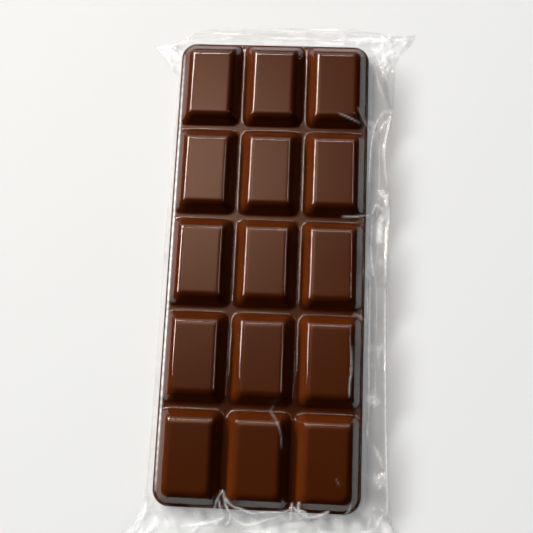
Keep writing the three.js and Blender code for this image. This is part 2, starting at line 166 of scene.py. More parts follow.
# Creases: the points that each runs through, its height, how white it turns with
# a painted highlight (below 0: how grey it turns with painted shade) and how widely.
CREASES = (
    # along the bar's right side, from its far end to its near end
    ([(40.3, 59.2), (38.4, 55.4), (37.3, 52.0), (36.3, 46.5), (35.9, 40.0),
      (35.6, 31.0)], 0.3, 0.9, 0.30),
    ([(44.4, 59.4), (43.0, 55.0), (42.2, 50.0), (41.5, 46.0), (41.5, 41.0)], 0.35, 0.8, 0.55),
    ([(41.6, 43.0), (41.8, 37.0), (43.3, 30.5)], 0.25, 0.35, 0.35),
    ([(40.1, 59.1), (42.0, 59.5), (44.6, 59.2)], 0.25, 0.35, 0.40),
    ([(39.4, 29.8), (40.2, 28.3), (41.4, 27.0), (42.4, 27.6)], 0.45, 1.0, 0.42),
    ([(40.2, 28.6), (41.0, 29.2), (41.8, 28.2)], 0.30, 0.9, 0.35),
    ([(42.6, 28.6), (42.3, 26.4), (42.3, 23.6)], 0.40, 1.0, 0.50),
    ([(36.6, 19.4), (38.0, 22.6), (38.8, 24.0), (40.4, 22.6), (44.0, 22.3)], 0.40, 0.6, 0.36),
    ([(44.0, 22.4), (43.4, 19.5), (42.6, 14.0), (42.6, 8.0), (42.3, 1.0),
      (42.4, -5.0)], 0.40, 1.0, 0.50),
    ([(40.6, 20.4), (40.2, 17.0), (40.1, 13.5), (39.9, 9.6)], 0.45, 1.0, 0.85),
    ([(41.8, 20.2), (40.9, 17.6)], 0.30, 0.7, 0.35),
    ([(37.6, 19.6), (37.0, 17.4), (36.9, 13.0), (36.9, 8.6)], 0.30, 0.45, 0.32),
    ([(36.8, 9.0), (37.2, 3.0), (38.2, -2.4)], 0.30, 0.75, 0.42),
    ([(42.2, -5.6), (42.3, -12.0), (42.6, -30.0), (42.9, -45.0), (43.3, -60.0), (43.7, -72.0),
      (43.8, -81.0), (42.6, -86.0)], 0.35, 0.72, 0.36),
    ([(36.9, -1.0), (36.7, -11.0), (36.7, -30.0), (37.1, -52.5)], 0.28, 0.6, 0.34),
    ([(35.7, -7.0), (35.8, -13.0), (35.9, -19.6)], 0.20, 0.5, 0.30),
    ([(36.9, -45.4), (38.3, -44.4), (39.8, -45.2)], 0.30, 0.7, 0.34),
    ([(36.9, -52.0), (36.5, -56.0), (37.4, -60.0)], 0.25, 0.4, 0.40),
    ([(39.0, -61.0), (41.0, -65.0), (42.3, -68.4)], 0.25, 0.35, 0.40),
    ([(40.3, -72.2), (42.6, -70.0), (42.5, -73.4)], 0.35, 0.6, 0.50),
    ([(41.0, -73.6), (41.6, -74.8)], 0.30, 0.8, 0.45),
    ([(40.9, 75.0), (41.9, 67.0), (43.4, 60.6)], -0.30, -0.30, 0.75),
    ([(36.6, 80.8), (38.0, 74.0), (40.6, 66.0)], 0.30, 0.35, 0.45),
    ([(37.4, 83.6), (40.0, 77.0), (42.0, 72.0)], 0.30, 0.30, 0.60),
    # over the blocks and grooves
    ([(30.6, 58.2), (32.6, 54.8), (34.9, 51.4), (35.6, 48.0)], 0.40, 0.42, 0.22),
    ([(24.0, 55.4), (28.5, 53.8), (32.0, 52.6)], 0.30, 0.40, 0.20),
    ([(26.0, 17.9), (30.0, 18.0), (33.4, 18.5), (36.6, 19.6)], 0.30, 0.60, 0.24),
    ([(31.0, -16.3), (33.4, -17.6), (35.4, -19.0)], 0.25, 0.38, 0.24),
    ([(4.6, -48.9), (3.9, -51.0), (5.9, -53.9), (7.4, -57.8), (8.0, -63.0)], 0.16, 0.22, 0.22),
    ([(26.0, -71.5), (27.4, -74.0)], 0.14, 0.07, 0.22),
    # These three paint light on the bar: a glint along the right crown of the right block in the
    # fourth row, a highlight line along the bar's left foot, and a faint painted reflection over
    # its right flanks.
    ([(30.2, -28.0), (30.5, -36.0), (30.0, -40.0), (29.9, -45.5)], 0.10, 0.38, 0.30),
    ([(-33.7, 79.0), (-33.7, 0.0), (-33.7, -79.0)], -0.05, 1.0, 0.36),
    ([(33.2, 80.0), (33.2, 0.0), (33.2, -80.0)], 0.05, 0.055, 0.95),
    # the crumpled mouths of the two near grooves
    ([(-13.6, -86.0), (-13.2, -81.6), (-12.0, -78.7), (-10.9, -77.8),
      (-10.3, -79.9)], 0.45, 0.50, 0.30),
    ([(-10.9, -78.2), (-9.8, -82.0), (-8.2, -85.0), (-6.0, -87.4), (-3.0, -88.5), (0.0, -88.0),
      (3.2, -86.6), (8.0, -85.3), (10.3, -85.8)], 0.45, 0.85, 0.38),
    ([(-10.3, -79.4), (-7.8, -82.0), (-5.0, -83.0), (-1.2, -84.2), (3.2, -83.8), (9.8, -83.2),
      (12.2, -81.6)], 0.40, 0.95, 0.32),
    ([(-12.4, -79.6), (-11.6, -83.0), (-10.0, -86.4)], 0.40, 0.60, 0.30),
    ([(-25.0, -89.8), (-20.0, -89.2), (-15.0, -88.2), (-11.4, -86.6),
      (-10.0, -84.8)], 0.45, 0.90, 0.50),
    ([(-14.0, -89.2), (-11.8, -87.4), (-9.8, -85.0)], 0.40, 0.90, 0.40),
    ([(-9.9, -88.9), (-8.6, -87.0), (-8.4, -84.8)], 0.40, 0.80, 0.40),
    ([(12.0, -80.2), (11.8, -83.5), (11.5, -86.4)], 0.45, 0.90, 0.34),
    ([(12.2, -81.4), (14.0, -83.0), (16.0, -84.0), (18.0, -86.0)], 0.45, 0.95, 0.38),
    ([(14.3, -79.6), (14.3, -82.2), (16.4, -83.1), (18.0, -85.6)], 0.40, 0.90, 0.32),
    ([(17.8, -85.0), (21.0, -84.1), (24.4, -82.4)], 0.45, 1.0, 0.45),
    ([(2.0, -88.8), (12.0, -86.6), (22.0, -85.0), (30.4, -83.6)], -0.45, -0.45, 0.65),
    ([(29.5, -83.4), (30.8, -81.6), (31.4, -79.6)], 0.35, 0.45, 0.28),
    # the near end of the wrapper
    ([(20.6, -87.8), (22.2, -89.7), (26.0, -90.6), (30.5, -90.8), (35.0, -89.8),
      (39.6, -88.2)], 0.50, 1.0, 0.50),
    ([(37.4, -87.6), (38.4, -84.2)], 0.35, 0.45, 0.36),
    ([(40.3, -87.4), (41.3, -84.8), (42.9, -82.6)], 0.40, 0.75, 0.42),
    ([(39.3, -81.0), (39.7, -81.8)], 0.30, 1.0, 0.45),
    ([(46.2, -92.0), (46.6, -88.0), (45.8, -85.0)], 0.40, 0.70, 0.50),
    ([(-32.2, -83.6), (-29.8, -87.2), (-28.2, -91.0)], 0.35, -0.40, 0.36),
    ([(-8.0, -91.5), (2.0, -90.6), (12.0, -91.4)], 0.35, 0.50, 0.45),
    ([(4.0, -95.8), (5.4, -92.2), (4.6, -88.6)], 0.35, 0.55, 0.45),
    ([(-4.5, -96.0), (-5.4, -92.6), (-8.0, -89.6)], 0.35, 0.50, 0.45),
    ([(-22.0, -95.0), (-20.5, -91.0), (-17.0, -88.8)], 0.35, 0.45, 0.45),
    ([(-41.0, -93.0), (-38.0, -88.0), (-37.0, -82.0)], 0.35, 0.50, 0.45),
    ([(-38.0, -94.5), (-34.0, -90.0), (-33.0, -86.0)], 0.35, 0.50, 0.45),
    ([(16.0, -95.0), (14.0, -91.0), (15.0, -88.0)], 0.35, 0.45, 0.40),
    # the far end and its two flares
    ([(-20.0, 87.0), (-5.0, 87.1), (10.0, 87.3), (28.0, 88.3)], 0.25, -0.22, 0.40),
    ([(-27.0, 89.2), (-8.0, 89.8), (14.0, 90.2), (34.0, 89.8)], 0.25, -0.20, 0.40),
    ([(17.0, 86.6), (21.0, 86.0), (26.0, 85.8)], 0.35, 0.70, 0.45),
    ([(27.0, 88.2), (31.5, 88.0), (36.5, 89.6)], 0.35, 0.60, 0.45),
    ([(30.0, 86.4), (34.0, 88.2), (38.2, 88.4), (41.4, 85.8)], 0.45, 0.85, 0.42),
    ([(35.8, 87.4), (40.0, 87.9), (43.8, 87.0)], 0.45, 0.80, 0.42),
    ([(39.8, 90.0), (41.8, 87.4), (43.2, 85.0)], 0.45, 0.80, 0.42),
    ([(43.0, 90.4), (42.4, 88.0), (44.0, 86.0)], 0.40, 0.70, 0.36),
    ([(36.0, 84.8), (39.5, 83.2), (42.0, 80.6)], 0.35, 0.45, 0.50),
    ([(45.0, 84.0), (44.6, 82.0), (44.8, 80.0)], -0.35, -0.35, 0.60),
    ([(44.6, 88.8), (46.6, 88.4), (49.0, 88.8)], 0.30, 0.60, 0.36),
    ([(-45.0, 83.4), (-40.0, 84.0), (-34.0, 86.2)], 0.35, 0.50, 0.40),
    ([(-43.5, 82.2), (-41.0, 80.6), (-38.6, 78.0)], 0.35, -0.30, 0.50),
    ([(-39.6, 83.6), (-38.4, 80.2), (-36.6, 77.0)], 0.35, 0.50, 0.40),
    ([(-42.0, 83.6), (-40.4, 81.4), (-37.2, 80.6)], 0.35, 0.50, 0.36),
    ([(-31.2, 86.0), (-31.6, 84.0), (-32.6, 82.2)], 0.25, -0.35, 0.30),
    ([(-38.8, 76.0), (-37.4, 73.6), (-36.9, 70.0)], 0.25, -0.30, 0.40),
    # along the bar's left side
    ([(-36.9, 66.0), (-36.6, 52.0), (-36.9, 40.0)], 0.12, -0.16, 0.34),
    ([(-37.0, 22.0), (-37.2, 4.0), (-37.4, -16.0)], 0.12, -0.14, 0.34))


# ---- mesh making -----------------------------------------------------------
def grid_faces(rows, columns, closed, first=0):
    """Quads of a grid whose vertices run row by row: each joins vertex (r, c)
    to (r, c+1), (r+1, c+1) and (r+1, c).  closed joins the last column to the
    first.  The faces look along row step x column step."""
    row = np.arange(rows - 1)[:, None]
    column = np.arange(columns if closed else columns - 1)[None, :]
    after = (column + 1) % columns
    quads = np.stack([row * columns + column, row * columns + after,
                      (row + 1) * columns + after, (row + 1) * columns + column], -1)
    return quads.reshape(-1, 4) + first


def add_object(name, data):
    """A new object in the scene, which shows the data."""
    item = bpy.data.objects.new(name, data)
    bpy.context.scene.collection.objects.link(item)
    return item


def make_piece(name, points, quads, material, marks=None):
    """A mesh object at the origin from points in millimetres and quads, with
    its doubles merged, its faces turned outwards and smooth shading.  marks are
    numbers for each point, kept under their names for the material."""
    mesh = bpy.data.meshes.new(name)
    mesh.from_pydata((points * MM).tolist(), [], quads.tolist())
    for mark, values in (marks or {}).items():
        mesh.attributes.new(mark, "FLOAT", "POINT").data.foreach_set("value", values)
    work = bmesh.new()
    work.from_mesh(mesh)
    bmesh.ops.remove_doubles(work, verts=work.verts, dist=2e-6)
    bmesh.ops.dissolve_degenerate(work, edges=work.edges, dist=1e-7)
    bmesh.ops.recalc_face_normals(work, faces=work.faces)
    work.to_mesh(mesh)
    work.free()
    mesh.polygons.foreach_set("use_smooth", np.ones(len(mesh.polygons), bool))
    mesh.materials.append(material)
    return add_object(name, mesh)


# ---- the shape of a block --------------------------------------------------
def block_profile(run, rise, foot_radius, crown_radius, foot_steps, flank_steps, crown_steps):
    """Insets and heights from a block's foot to its flat top: a concave arc, a
    straight flank and a convex arc, each tangent to the next.  The flank's
    angle is 2 atan(rise / (run + sqrt(run^2 - rise (2 q - rise)))), where q is
    the sum of the two radii."""
    both = foot_radius + crown_radius
    angle = 2 * math.atan(rise / (run + math.sqrt(run ** 2 - rise * (2 * both - rise))))
    foot = np.linspace(0, angle, foot_steps + 1)
    crown = np.linspace(angle, 0, crown_steps + 1)
    foot_arc = np.stack([foot_radius * np.sin(foot), foot_radius * (1 - np.cos(foot))], 1)
    crown_arc = np.stack([run - crown_radius * np.sin(crown),
                          rise - crown_radius * (1 - np.cos(crown))], 1)
    share = np.linspace(0, 1, flank_steps + 1)[1:-1, None]
    flank = foot_arc[-1] * (1 - share) + crown_arc[0] * share
    return np.concatenate([foot_arc, flank, crown_arc])


def ring_stations(corner_steps, side_steps):
    """Where the points of a rounded ring lie: for each, the corner it belongs to
    and the next one, the angles there, and its share of the way between them.
    Corners run right far, left far, left near, right near."""
    first, last, angle_a, angle_b, share = [], [], [], [], []
    for corner in range(4):
        turn = corner * math.pi / 2 + np.linspace(0, math.pi / 2, corner_steps + 1)
        first += [corner] * (corner_steps + 1)
        last += [corner] * (corner_steps + 1)
        angle_a += list(turn)
        angle_b += list(turn)
        share += [0.0] * (corner_steps + 1)
        steps = side_steps[corner % 2]
        first += [corner] * (steps - 1)
        last += [(corner + 1) % 4] * (steps - 1)
        angle_a += [turn[-1]] * (steps - 1)
        angle_b += [turn[-1]] * (steps - 1)
        share += list(np.arange(1, steps) / steps)
    return tuple(np.array(values) for values in (first, last, angle_a, angle_b, share))


CORNER_SIGN = np.array([[1, 1], [-1, 1], [-1, -1], [1, -1]])


def rounded_rings(centres, half, radii, stations):
    """Rounded rectangles as rings of points: centres is (block, 2), half is
    (block, level, corner, 2) and radii (block, level, corner).  Each point lies
    on its corner's arc or part of the way to the next corner's.  The result is
    (block, level, station, 2)."""
    first, last, angle_a, angle_b, share = stations

    def on_arc(corner, angle):
        radius = radii[:, :, corner]
        middle = CORNER_SIGN[corner] * (half[:, :, corner] - radius[..., None])
        turn = np.stack([np.cos(angle), np.sin(angle)], -1)
        return middle + radius[..., None] * turn

    mixed = on_arc(first, angle_a) * (1 - share[:, None]) + on_arc(last, angle_b) * share[:, None]
    return mixed + centres[:, None, None, :]


def block_table():
    """The middle of each block, and for each of its corners whether it is one of
    the bar's own, and how far the cell reaches there along X and Y."""
    row, column = np.divmod(np.arange(ROWS * COLUMNS), COLUMNS)
    centres = np.stack([(column - (COLUMNS - 1) / 2) * PITCH[0],
                        ((ROWS - 1) / 2 - row) * PITCH[1]], 1)
    at_side = np.stack([column == COLUMNS - 1, column == 0, column == 0, column == COLUMNS - 1], 1)
    at_end = np.stack([row == 0, row == 0, row == ROWS - 1, row == ROWS - 1], 1)
    reach = np.stack([np.where(at_side, FOOT_HALF[0] + RIM, PITCH[0] / 2),
                      np.where(at_end, FOOT_HALF[1] + RIM, PITCH[1] / 2)], -1)
    return centres, at_side & at_end, reach


def block_cells(profile, stations):
    """The upper surface over all blocks, one cell for each block: rings from the
    cell's edge in over the groove floor, up the block's profile and over its
    flat top to a line at its middle.  Returns points (block, level, station, 3)."""
    centres, at_bar_corner, reach = block_table()
    run, climb = profile[-1]
    foot_radius = np.where(at_bar_corner, BAR_CORNER, FOOT_CORNER)[:, None, :]
    top_radius = np.where(at_bar_corner, BAR_TOP_CORNER, TOP_CORNER)[:, None, :]

    half, radii, height = [], [], []
    edge_radius = np.where(at_bar_corner, BAR_CORNER + RIM, 0.0)[:, None, :]
    for share in FLOOR_SHARES:
        half.append(reach[:, None] * (1 - share) + FOOT_HALF * share)
        radii.append(edge_radius * (1 - share) + foot_radius * share)
        height.append(SLAB_HEIGHT)
    for inset, rise in profile:
        share = inset / run
        half.append(np.broadcast_to(FOOT_HALF - inset, (len(centres), 1, 4, 2)))
        radii.append(foot_radius * (1 - share) + top_radius * share)
        height.append(SLAB_HEIGHT + rise)
    for share in TOP_SHARES:
        half.append(np.broadcast_to(TOP_HALF - share * TOP_HALF[0], (len(centres), 1, 4, 2)))
        radii.append(top_radius * (1 - share))
        height.append(SLAB_HEIGHT + climb)
    flat = rounded_rings(centres, np.concatenate(half, 1), np.concatenate(radii, 1), stations)
    high = np.broadcast_to(np.array(height)[None, :, None, None], flat.shape[:-1] + (1,))
    return np.concatenate([flat, high], -1)


def outer_loop(edge):
    """The edge of the whole bar, anticlockwise, gathered from the cells' outer
    sides: the right far corner's arc, the far side, the left far corner's arc
    and so on.  edge is (block, station, 3)."""
    across, along = range(COLUMNS), range(ROWS)
    blocks = [
        list(reversed(across)),
        [row * COLUMNS for row in along],
        [(ROWS - 1) * COLUMNS + column for column in across],
        [row * COLUMNS + COLUMNS - 1 for row in reversed(along)]]
    parts, arc_start = [], 0
    for side, side_blocks in enumerate(blocks):
        side_start = arc_start + CORNER_STEPS
        side_end = side_start + SIDE_STEPS[side % 2]
        parts.append(edge[side_blocks[0], arc_start:side_start])
        parts += [edge[block, side_start:side_end] for block in side_blocks]
        arc_start = side_end
    return np.concatenate(parts)


# ---- the chocolate bar -----------------------------------------------------
def gentle_waves(x, y, lengths, height):
    """A sum of slow sine waves in random directions, for hand-sized unevenness."""
    total = np.zeros_like(x)
    for length in lengths:
        direction = rng.uniform(0, math.pi)
        phase = rng.uniform(0, 2 * math.pi)
        along = x * math.cos(direction) + y * math.sin(direction)
        total = total + np.sin(along * 2 * math.pi / length + phase)
    return total * height / len(lengths)


def slab_rings(edge):
    """Rings from the bar's edge down its side and in under it: a quarter turn
    from the rim, the drafted side, a small chamfer and the flat underside.  Each
    goes outwards from the middles of the bar's corner arcs."""
    inner = SLAB_HALF - SLAB_DRAFT - RIM - BAR_CORNER
    outward = edge[:, :2] - np.clip(edge[:, :2], -inner, inner)
    outward /= np.linalg.norm(outward, axis=1)[:, None]

    def ring(out, height):
        return np.column_stack([edge[:, :2] + outward * out, np.full(len(edge), height)])

    rings = [edge]
    for angle in np.linspace(0, math.pi / 2, 5)[1:]:
        rings.append(ring(RIM_TURN_OUT * math.sin(angle),
                          SLAB_HEIGHT - RIM_TURN * (1 - math.cos(angle))))
    rings.append(ring(SLAB_DRAFT, UNDERSIDE + BASE_CHAMFER))
    rings.append(ring(SLAB_DRAFT - BASE_CHAMFER, UNDERSIDE))
    for share in UNDER_SHARES:
        rings.append(np.column_stack([edge[:, :2] * (1 - share), np.full(len(edge), UNDERSIDE)]))
    return np.stack(rings)


def make_chocolate_bar(material):
    """Cells over the groove floor and the blocks, closed by the slab's drafted
    side, which rounds into the rim, and by a flat underside.  The blocks' height
    wavers by gentle waves, in full on their tops and not at all in the grooves."""
    profile = block_profile((FOOT_HALF - TOP_HALF)[0], BAR_HEIGHT - SLAB_HEIGHT,
                            FOOT_FILLET, CROWN_RADIUS, *PROFILE_STEPS)
    cells = block_cells(profile, ring_stations(CORNER_STEPS, SIDE_STEPS))
    crown = (cells[..., 2] - SLAB_HEIGHT) / (BAR_HEIGHT - SLAB_HEIGHT)
    cells[..., 2] += gentle_waves(cells[..., 0], cells[..., 1], BAR_WAVES, BAR_WAVE_HEIGHT) * crown
    rings = slab_rings(outer_loop(cells[:, 0]))

    blocks, levels, points = cells.shape[:3]
    quads = [grid_faces(levels, points, True, block * levels * points) for block in range(blocks)]
    quads.append(grid_faces(*rings.shape[:2], True, blocks * levels * points))
    everything = np.concatenate([cells.reshape(-1, 3), rings.reshape(-1, 3)])
    return make_piece("chocolate_bar_moulded", everything, np.concatenate(quads), material)


# ---- the film --------------------------------------------------------------
def smooth_line(points, shares):
    """Points at the given shares of the length of a Catmull-Rom line."""
    points = np.array(points, float)
    before = np.vstack([2 * points[0] - points[1], points[:-1]])
    after = np.vstack([points[1:], 2 * points[-1] - points[-2]])
    slope = (after - before) / 2
    fine = np.linspace(0, len(points) - 1, 40 * (len(points) - 1) + 1)
    piece = np.minimum(fine.astype(int), len(points) - 2)
    t = (fine - piece)[:, None]
    a, b, sa, sb = points[piece], points[piece + 1], slope[piece], slope[piece + 1]
    line = ((2 * t ** 3 - 3 * t ** 2 + 1) * a + (t ** 3 - 2 * t ** 2 + t) * sa
            + (3 * t ** 2 - 2 * t ** 3) * b + (t ** 3 - t ** 2) * sb)
    length = np.concatenate([[0], np.cumsum(np.linalg.norm(np.diff(line, axis=0), axis=1))])
    wanted = np.asarray(shares) * length[-1]
    return np.stack([np.interp(wanted, length, line[:, axis]) for axis in (0, 1)], 1)


def lines_over_blocks(count, pitch, top_half, flank_steps, top_steps):
    """Where the sheet's lines cross the bar: close together over the grooves and
    flanks and further apart over the flat tops."""
    flank = np.linspace(-pitch / 2, -top_half, flank_steps, endpoint=False)
    top = np.linspace(-top_half, top_half, top_steps, endpoint=False)
    rise = np.linspace(top_half, pitch / 2, flank_steps, endpoint=False)
    block = np.concatenate([flank, top, rise])
    middles = (np.arange(count) - (count - 1) / 2) * pitch
    return np.append((middles[:, None] + block).ravel(), middles[-1] + pitch / 2)


def corner_patch(inner_x, inner_y, outer_x, outer_y):
    """A Coons patch: the sum of the two ruled surfaces between its opposite edges
    less the bilinear one.  inner_x and outer_x run along the first parameter."""
    s = np.linspace(0, 1, len(inner_x))[:, None, None]
    t = np.linspace(0, 1, len(inner_y))[None, :, None]
    ruled = ((1 - t) * inner_x[:, None] + t * outer_x[:, None]
             + (1 - s) * inner_y[None] + s * outer_y[None])
    corners = ((1 - s) * (1 - t) * inner_x[0] + s * (1 - t) * inner_x[-1]
               + (1 - s) * t * inner_y[-1] + s * t * outer_x[-1])
    return ruled - corners


def sheet_plan():
    """The plan positions of the film's front, (across, along, 2): a grid over the
    bar, stretched outwards on all four sides to the film's outer edge."""
    xs = lines_over_blocks(COLUMNS, PITCH[0], TOP_HALF[0], FLANK_LINES, TOP_LINES[0])
    ys = lines_over_blocks(ROWS, PITCH[1], TOP_HALF[1], FLANK_LINES, TOP_LINES[1])
    left, right, near, far = SIDE_LINES
    plan = np.zeros((left + len(xs) + right, near + len(ys) + far, 2))
    i0, i1, j0, j1 = left, left + len(xs), near, near + len(ys)
    plan[i0:i1, j0:j1] = np.stack(np.meshgrid(xs, ys, indexing="ij"), -1)
    across = (xs - xs[0]) / (xs[-1] - xs[0])
    along = (ys - ys[0]) / (ys[-1] - ys[0])

    def stretched(inner, outer, steps):
        share = (np.arange(1, steps + 1) / steps)[:, None, None]
        return inner[None] * (1 - share) + outer[None] * share

    plan[i0:i1, j1:] = stretched(plan[i0:i1, j1 - 1], smooth_line(FAR_RUN, across),
                                 far).transpose(1, 0, 2)
    plan[i0:i1, :j0] = stretched(plan[i0:i1, j0], smooth_line(NEAR_RUN, across),
                                 near)[::-1].transpose(1, 0, 2)
    plan[i1:, j0:j1] = stretched(plan[i1 - 1, j0:j1], smooth_line(RIGHT_RUN, along), right)
    plan[:i0, j0:j1] = stretched(plan[i0, j0:j1], smooth_line(LEFT_RUN, along), left)[::-1]

    for is_right, is_far in ((1, 1), (0, 1), (0, 0), (1, 0)):
        end_flare, side_flare = FLARES[is_right, is_far]
        width, depth = (right if is_right else left), (far if is_far else near)
        i = i1 - 1 + np.arange(width + 1) if is_right else i0 - np.arange(width + 1)
        j = j1 - 1 + np.arange(depth + 1) if is_far else j0 - np.arange(depth + 1)
        patch = corner_patch(plan[i, j[0]], plan[i[0], j],
                             smooth_line(end_flare, np.linspace(0, 1, width + 1)),
                             smooth_line(side_flare, np.linspace(0, 1, depth + 1)))
        plan[np.ix_(i, j)] = patch
    return plan


def inset_from(x, y, half_x, half_y, radius):
    """How far a point lies inside a rounded rectangle about the origin."""
    qx, qy = np.abs(x) - (half_x - radius), np.abs(y) - (half_y - radius)
    outside = np.hypot(np.maximum(qx, 0), np.maximum(qy, 0))
    return radius - outside - np.minimum(np.maximum(qx, qy), 0)


def height_of_bar(x, y, reach, foot_radius, gap):
    """Height of the bar's surface, lifted by gap, with each block's foot moved out
    by reach and given a wider turn; 0 beside the bar, and between over the
    outermost half millimetre."""
    profile = block_profile((FOOT_HALF - TOP_HALF)[0] + reach, BAR_HEIGHT - SLAB_HEIGHT,
                            foot_radius, CROWN_RADIUS + gap, *SMOOTH_STEPS)
    column = np.clip(np.round(x / PITCH[0]), -(COLUMNS // 2), COLUMNS // 2)
    row = np.clip(np.round(y / PITCH[1]), -(ROWS // 2), ROWS // 2)
    local_x, local_y = x - column * PITCH[0], y - row * PITCH[1]
    own_corner = ((np.sign(local_x) * column == COLUMNS // 2)
                  & (np.sign(local_y) * row == ROWS // 2))
    radius = np.where(own_corner, BAR_CORNER, FOOT_CORNER) + reach
    inset = inset_from(local_x, local_y, FOOT_HALF[0] + reach, FOOT_HALF[1] + reach, radius)
    rise = np.interp(inset, profile[:, 0], profile[:, 1], left=0)
    slab = inset_from(x, y, *SLAB_HALF, BAR_CORNER + RIM + SLAB_DRAFT)
    return (SLAB_HEIGHT + gap + rise) * np.clip(slab / 0.5, 0, 1)


def drawn_down_film():
    """Heights on a fine grid of a film that is drawn on to the bar: its mean
    curvature is at most 1 / the turning radius, and it never dips below the bar.
    Found by relaxing z = max(bar, mean of the four neighbours - h^2 / (4 radius)).
    Along the bar's outer sides the film turns widely and so spans the grooves."""
    xs = np.arange(GRID_X[0], GRID_X[1] + GRID_STEP, GRID_STEP)
    ys = np.arange(GRID_Y[0], GRID_Y[1] + GRID_STEP, GRID_STEP)
    x, y = np.meshgrid(xs, ys, indexing="ij")
    floor = height_of_bar(x, y, 0.0, FOOT_FILLET, 0.0) - TENT_SINK
    beyond = -inset_from(x, y, *SLAB_HALF, BAR_CORNER)
    widened = np.clip((beyond + WIDENING_FROM) / WIDENING_BAND, 0, 1)
    pull = GRID_STEP ** 2 / (4 * (TURN_OVER_BAR + TURN_WIDENING * widened))
    z = np.maximum(floor, BAR_HEIGHT * np.clip(1 - beyond / TENT_REACH, 0, 1))
    floor = np.maximum(floor, 0.0)
    for _ in range(RELAX_ROUNDS):
        mean = np.zeros_like(z)
        mean[1:-1, 1:-1] = (z[2:, 1:-1] + z[:-2, 1:-1] + z[1:-1, 2:] + z[1:-1, :-2]) / 4
        z = np.maximum(floor, mean - pull)
    return xs, ys, z


def sample(grid, x, y):
    """The grid's height at scattered points, by Catmull-Rom weights both ways."""
    xs, ys, z = grid
    u = np.clip((x - xs[0]) / (xs[1] - xs[0]), 1, len(xs) - 2.001)
    v = np.clip((y - ys[0]) / (ys[1] - ys[0]), 1, len(ys) - 2.001)
    i, j = u.astype(int), v.astype(int)

    def weights(t):
        return (-t / 2 + t ** 2 - t ** 3 / 2, 1 - 2.5 * t ** 2 + 1.5 * t ** 3,
                t / 2 + 2 * t ** 2 - 1.5 * t ** 3, -t ** 2 / 2 + t ** 3 / 2)

    total = 0
    for a, weight_a in enumerate(weights(u - i)):
        for b, weight_b in enumerate(weights(v - j)):
            total = total + z[i + a - 1, j + b - 1] * weight_a * weight_b
    return total


def smooth_max(a, b, blend):
    """The larger of a and b, rounded over where they are within blend."""
    h = np.clip(0.5 + 0.5 * (a - b) / blend, 0, 1)
    return b + (a - b) * h + blend * h * (1 - h)


def crease(x, y, points, height, whiteness, width):
    """A sharp ridge along a smooth line: height x (1 - distance / half width),
    with its top just rounded, where the half width is 0.3 + 1.2 width.  It tapers
    to nothing at both ends as sin(pi x share of the length)^0.4.  Also its painted
    highlight, whiteness x exp(-(distance / width)^2), which tapers too and wavers by
    a fifth; a negative whiteness is painted shade.  A negative height is a furrow."""
    shares = np.linspace(0, 1, 8 * len(points))
    line = smooth_line(points, shares)
    best = np.full(x.shape, 1e9)
    taper = np.zeros(x.shape)
    for index in range(len(line) - 1):
        start, step = line[index], line[index + 1] - line[index]
        t = np.clip(((x - start[0]) * step[0] + (y - start[1]) * step[1]) / (step @ step), 0, 1)
        away = np.hypot(x - start[0] - t * step[0], y - start[1] - t * step[1])
        nearer = away < best
        share = (index + t) / (len(line) - 1)
        taper = np.where(nearer, np.clip(np.sin(share * math.pi), 0, 1) ** 0.4, taper)
        best = np.where(nearer, away, best)
    rounded = np.sqrt((best / (0.3 + 1.2 * width)) ** 2 + 0.01)
    waver = 0.82 + 0.18 * np.sin(y * 1.9 + x * 1.3 + 2 * np.sin(y * 0.37))
    mark = whiteness * waver * taper * np.exp(-(best / width) ** 2)
    return height * taper * np.clip(1.05 - rounded, 0, None), mark


def crumple(x, y, middle, reach, grain, angle, stretch, slope):
    """Crumpled facets round a point: slope x the distance to the nearest of a few
    scattered seeds, with lengths along the angle divided by stretch, which fades
    out as exp(-(distance / reach)^4).  Also their painted highlight, a white that is
    high where the two nearest seeds are equally far, along the facets' edges, and
    how crumpled each place is."""
    px, py = x - middle[0], y - middle[1]
    c, s = math.cos(math.radians(angle)), math.sin(math.radians(angle))
    along, across = (px * c + py * s), (py * c - px * s)
    fade = np.exp(-((along / reach[0]) ** 2 + (across / reach[1]) ** 2) ** 2)
    count = int(4 * reach[0] * reach[1] / (grain ** 2 * stretch)) + 3
    seeds = rng.uniform(-1.3, 1.3, (count, 2)) * np.array(reach)
    nearest = np.full(x.shape, 1e3)
    second = np.full(x.shape, 1e3)
    for seed in seeds:
        away = np.hypot((along - seed[0]) / stretch, across - seed[1])
        second = np.minimum(second, np.maximum(nearest, away))
        nearest = np.minimum(nearest, away)
    white = np.exp(-((second - nearest) / (2 * GLINT_WIDTH)) ** 2) * fade
    return slope * (nearest - grain / 2) * fade, white, fade


def crumpled_places(x, y):
    """All crumpled places: their heights added up and, of each mark, the largest,
    as white (painted highlight), grey (painted shade) and dull."""
    total, white, grey, dull = (np.zeros_like(x) for _ in range(4))
    for *place, slope in CRUMPLES:
        height, edge, fade = crumple(x, y, *place, slope)
        total += height
        white = np.maximum(white, edge * (FACET_WHITE + FACET_WHITE_BY_SLOPE * slope))
        # painted shade: the higher a facet stands, the greyer it is painted
        grey = np.maximum(grey, np.clip(height, 0, FACET_GREY_HEIGHT) * FACET_GREY)
        dull = np.maximum(dull, fade * min(1.0, FACET_DULL * slope))
    return total, white, grey, dull


def all_creases(x, y):
    """All creases: their heights added up and, of each mark, the largest, as white
    (painted highlight) or, where a whiteness is below 0, as grey (painted shade)."""
    total, white, grey = (np.zeros_like(x) for _ in range(3))
    for points, height, whiteness, width in CREASES:
        ridge, mark = crease(x, y, points, height, whiteness, width)
        total += ridge
        white = np.maximum(white, mark)
        grey = np.maximum(grey, -mark)
    return total, white, grey


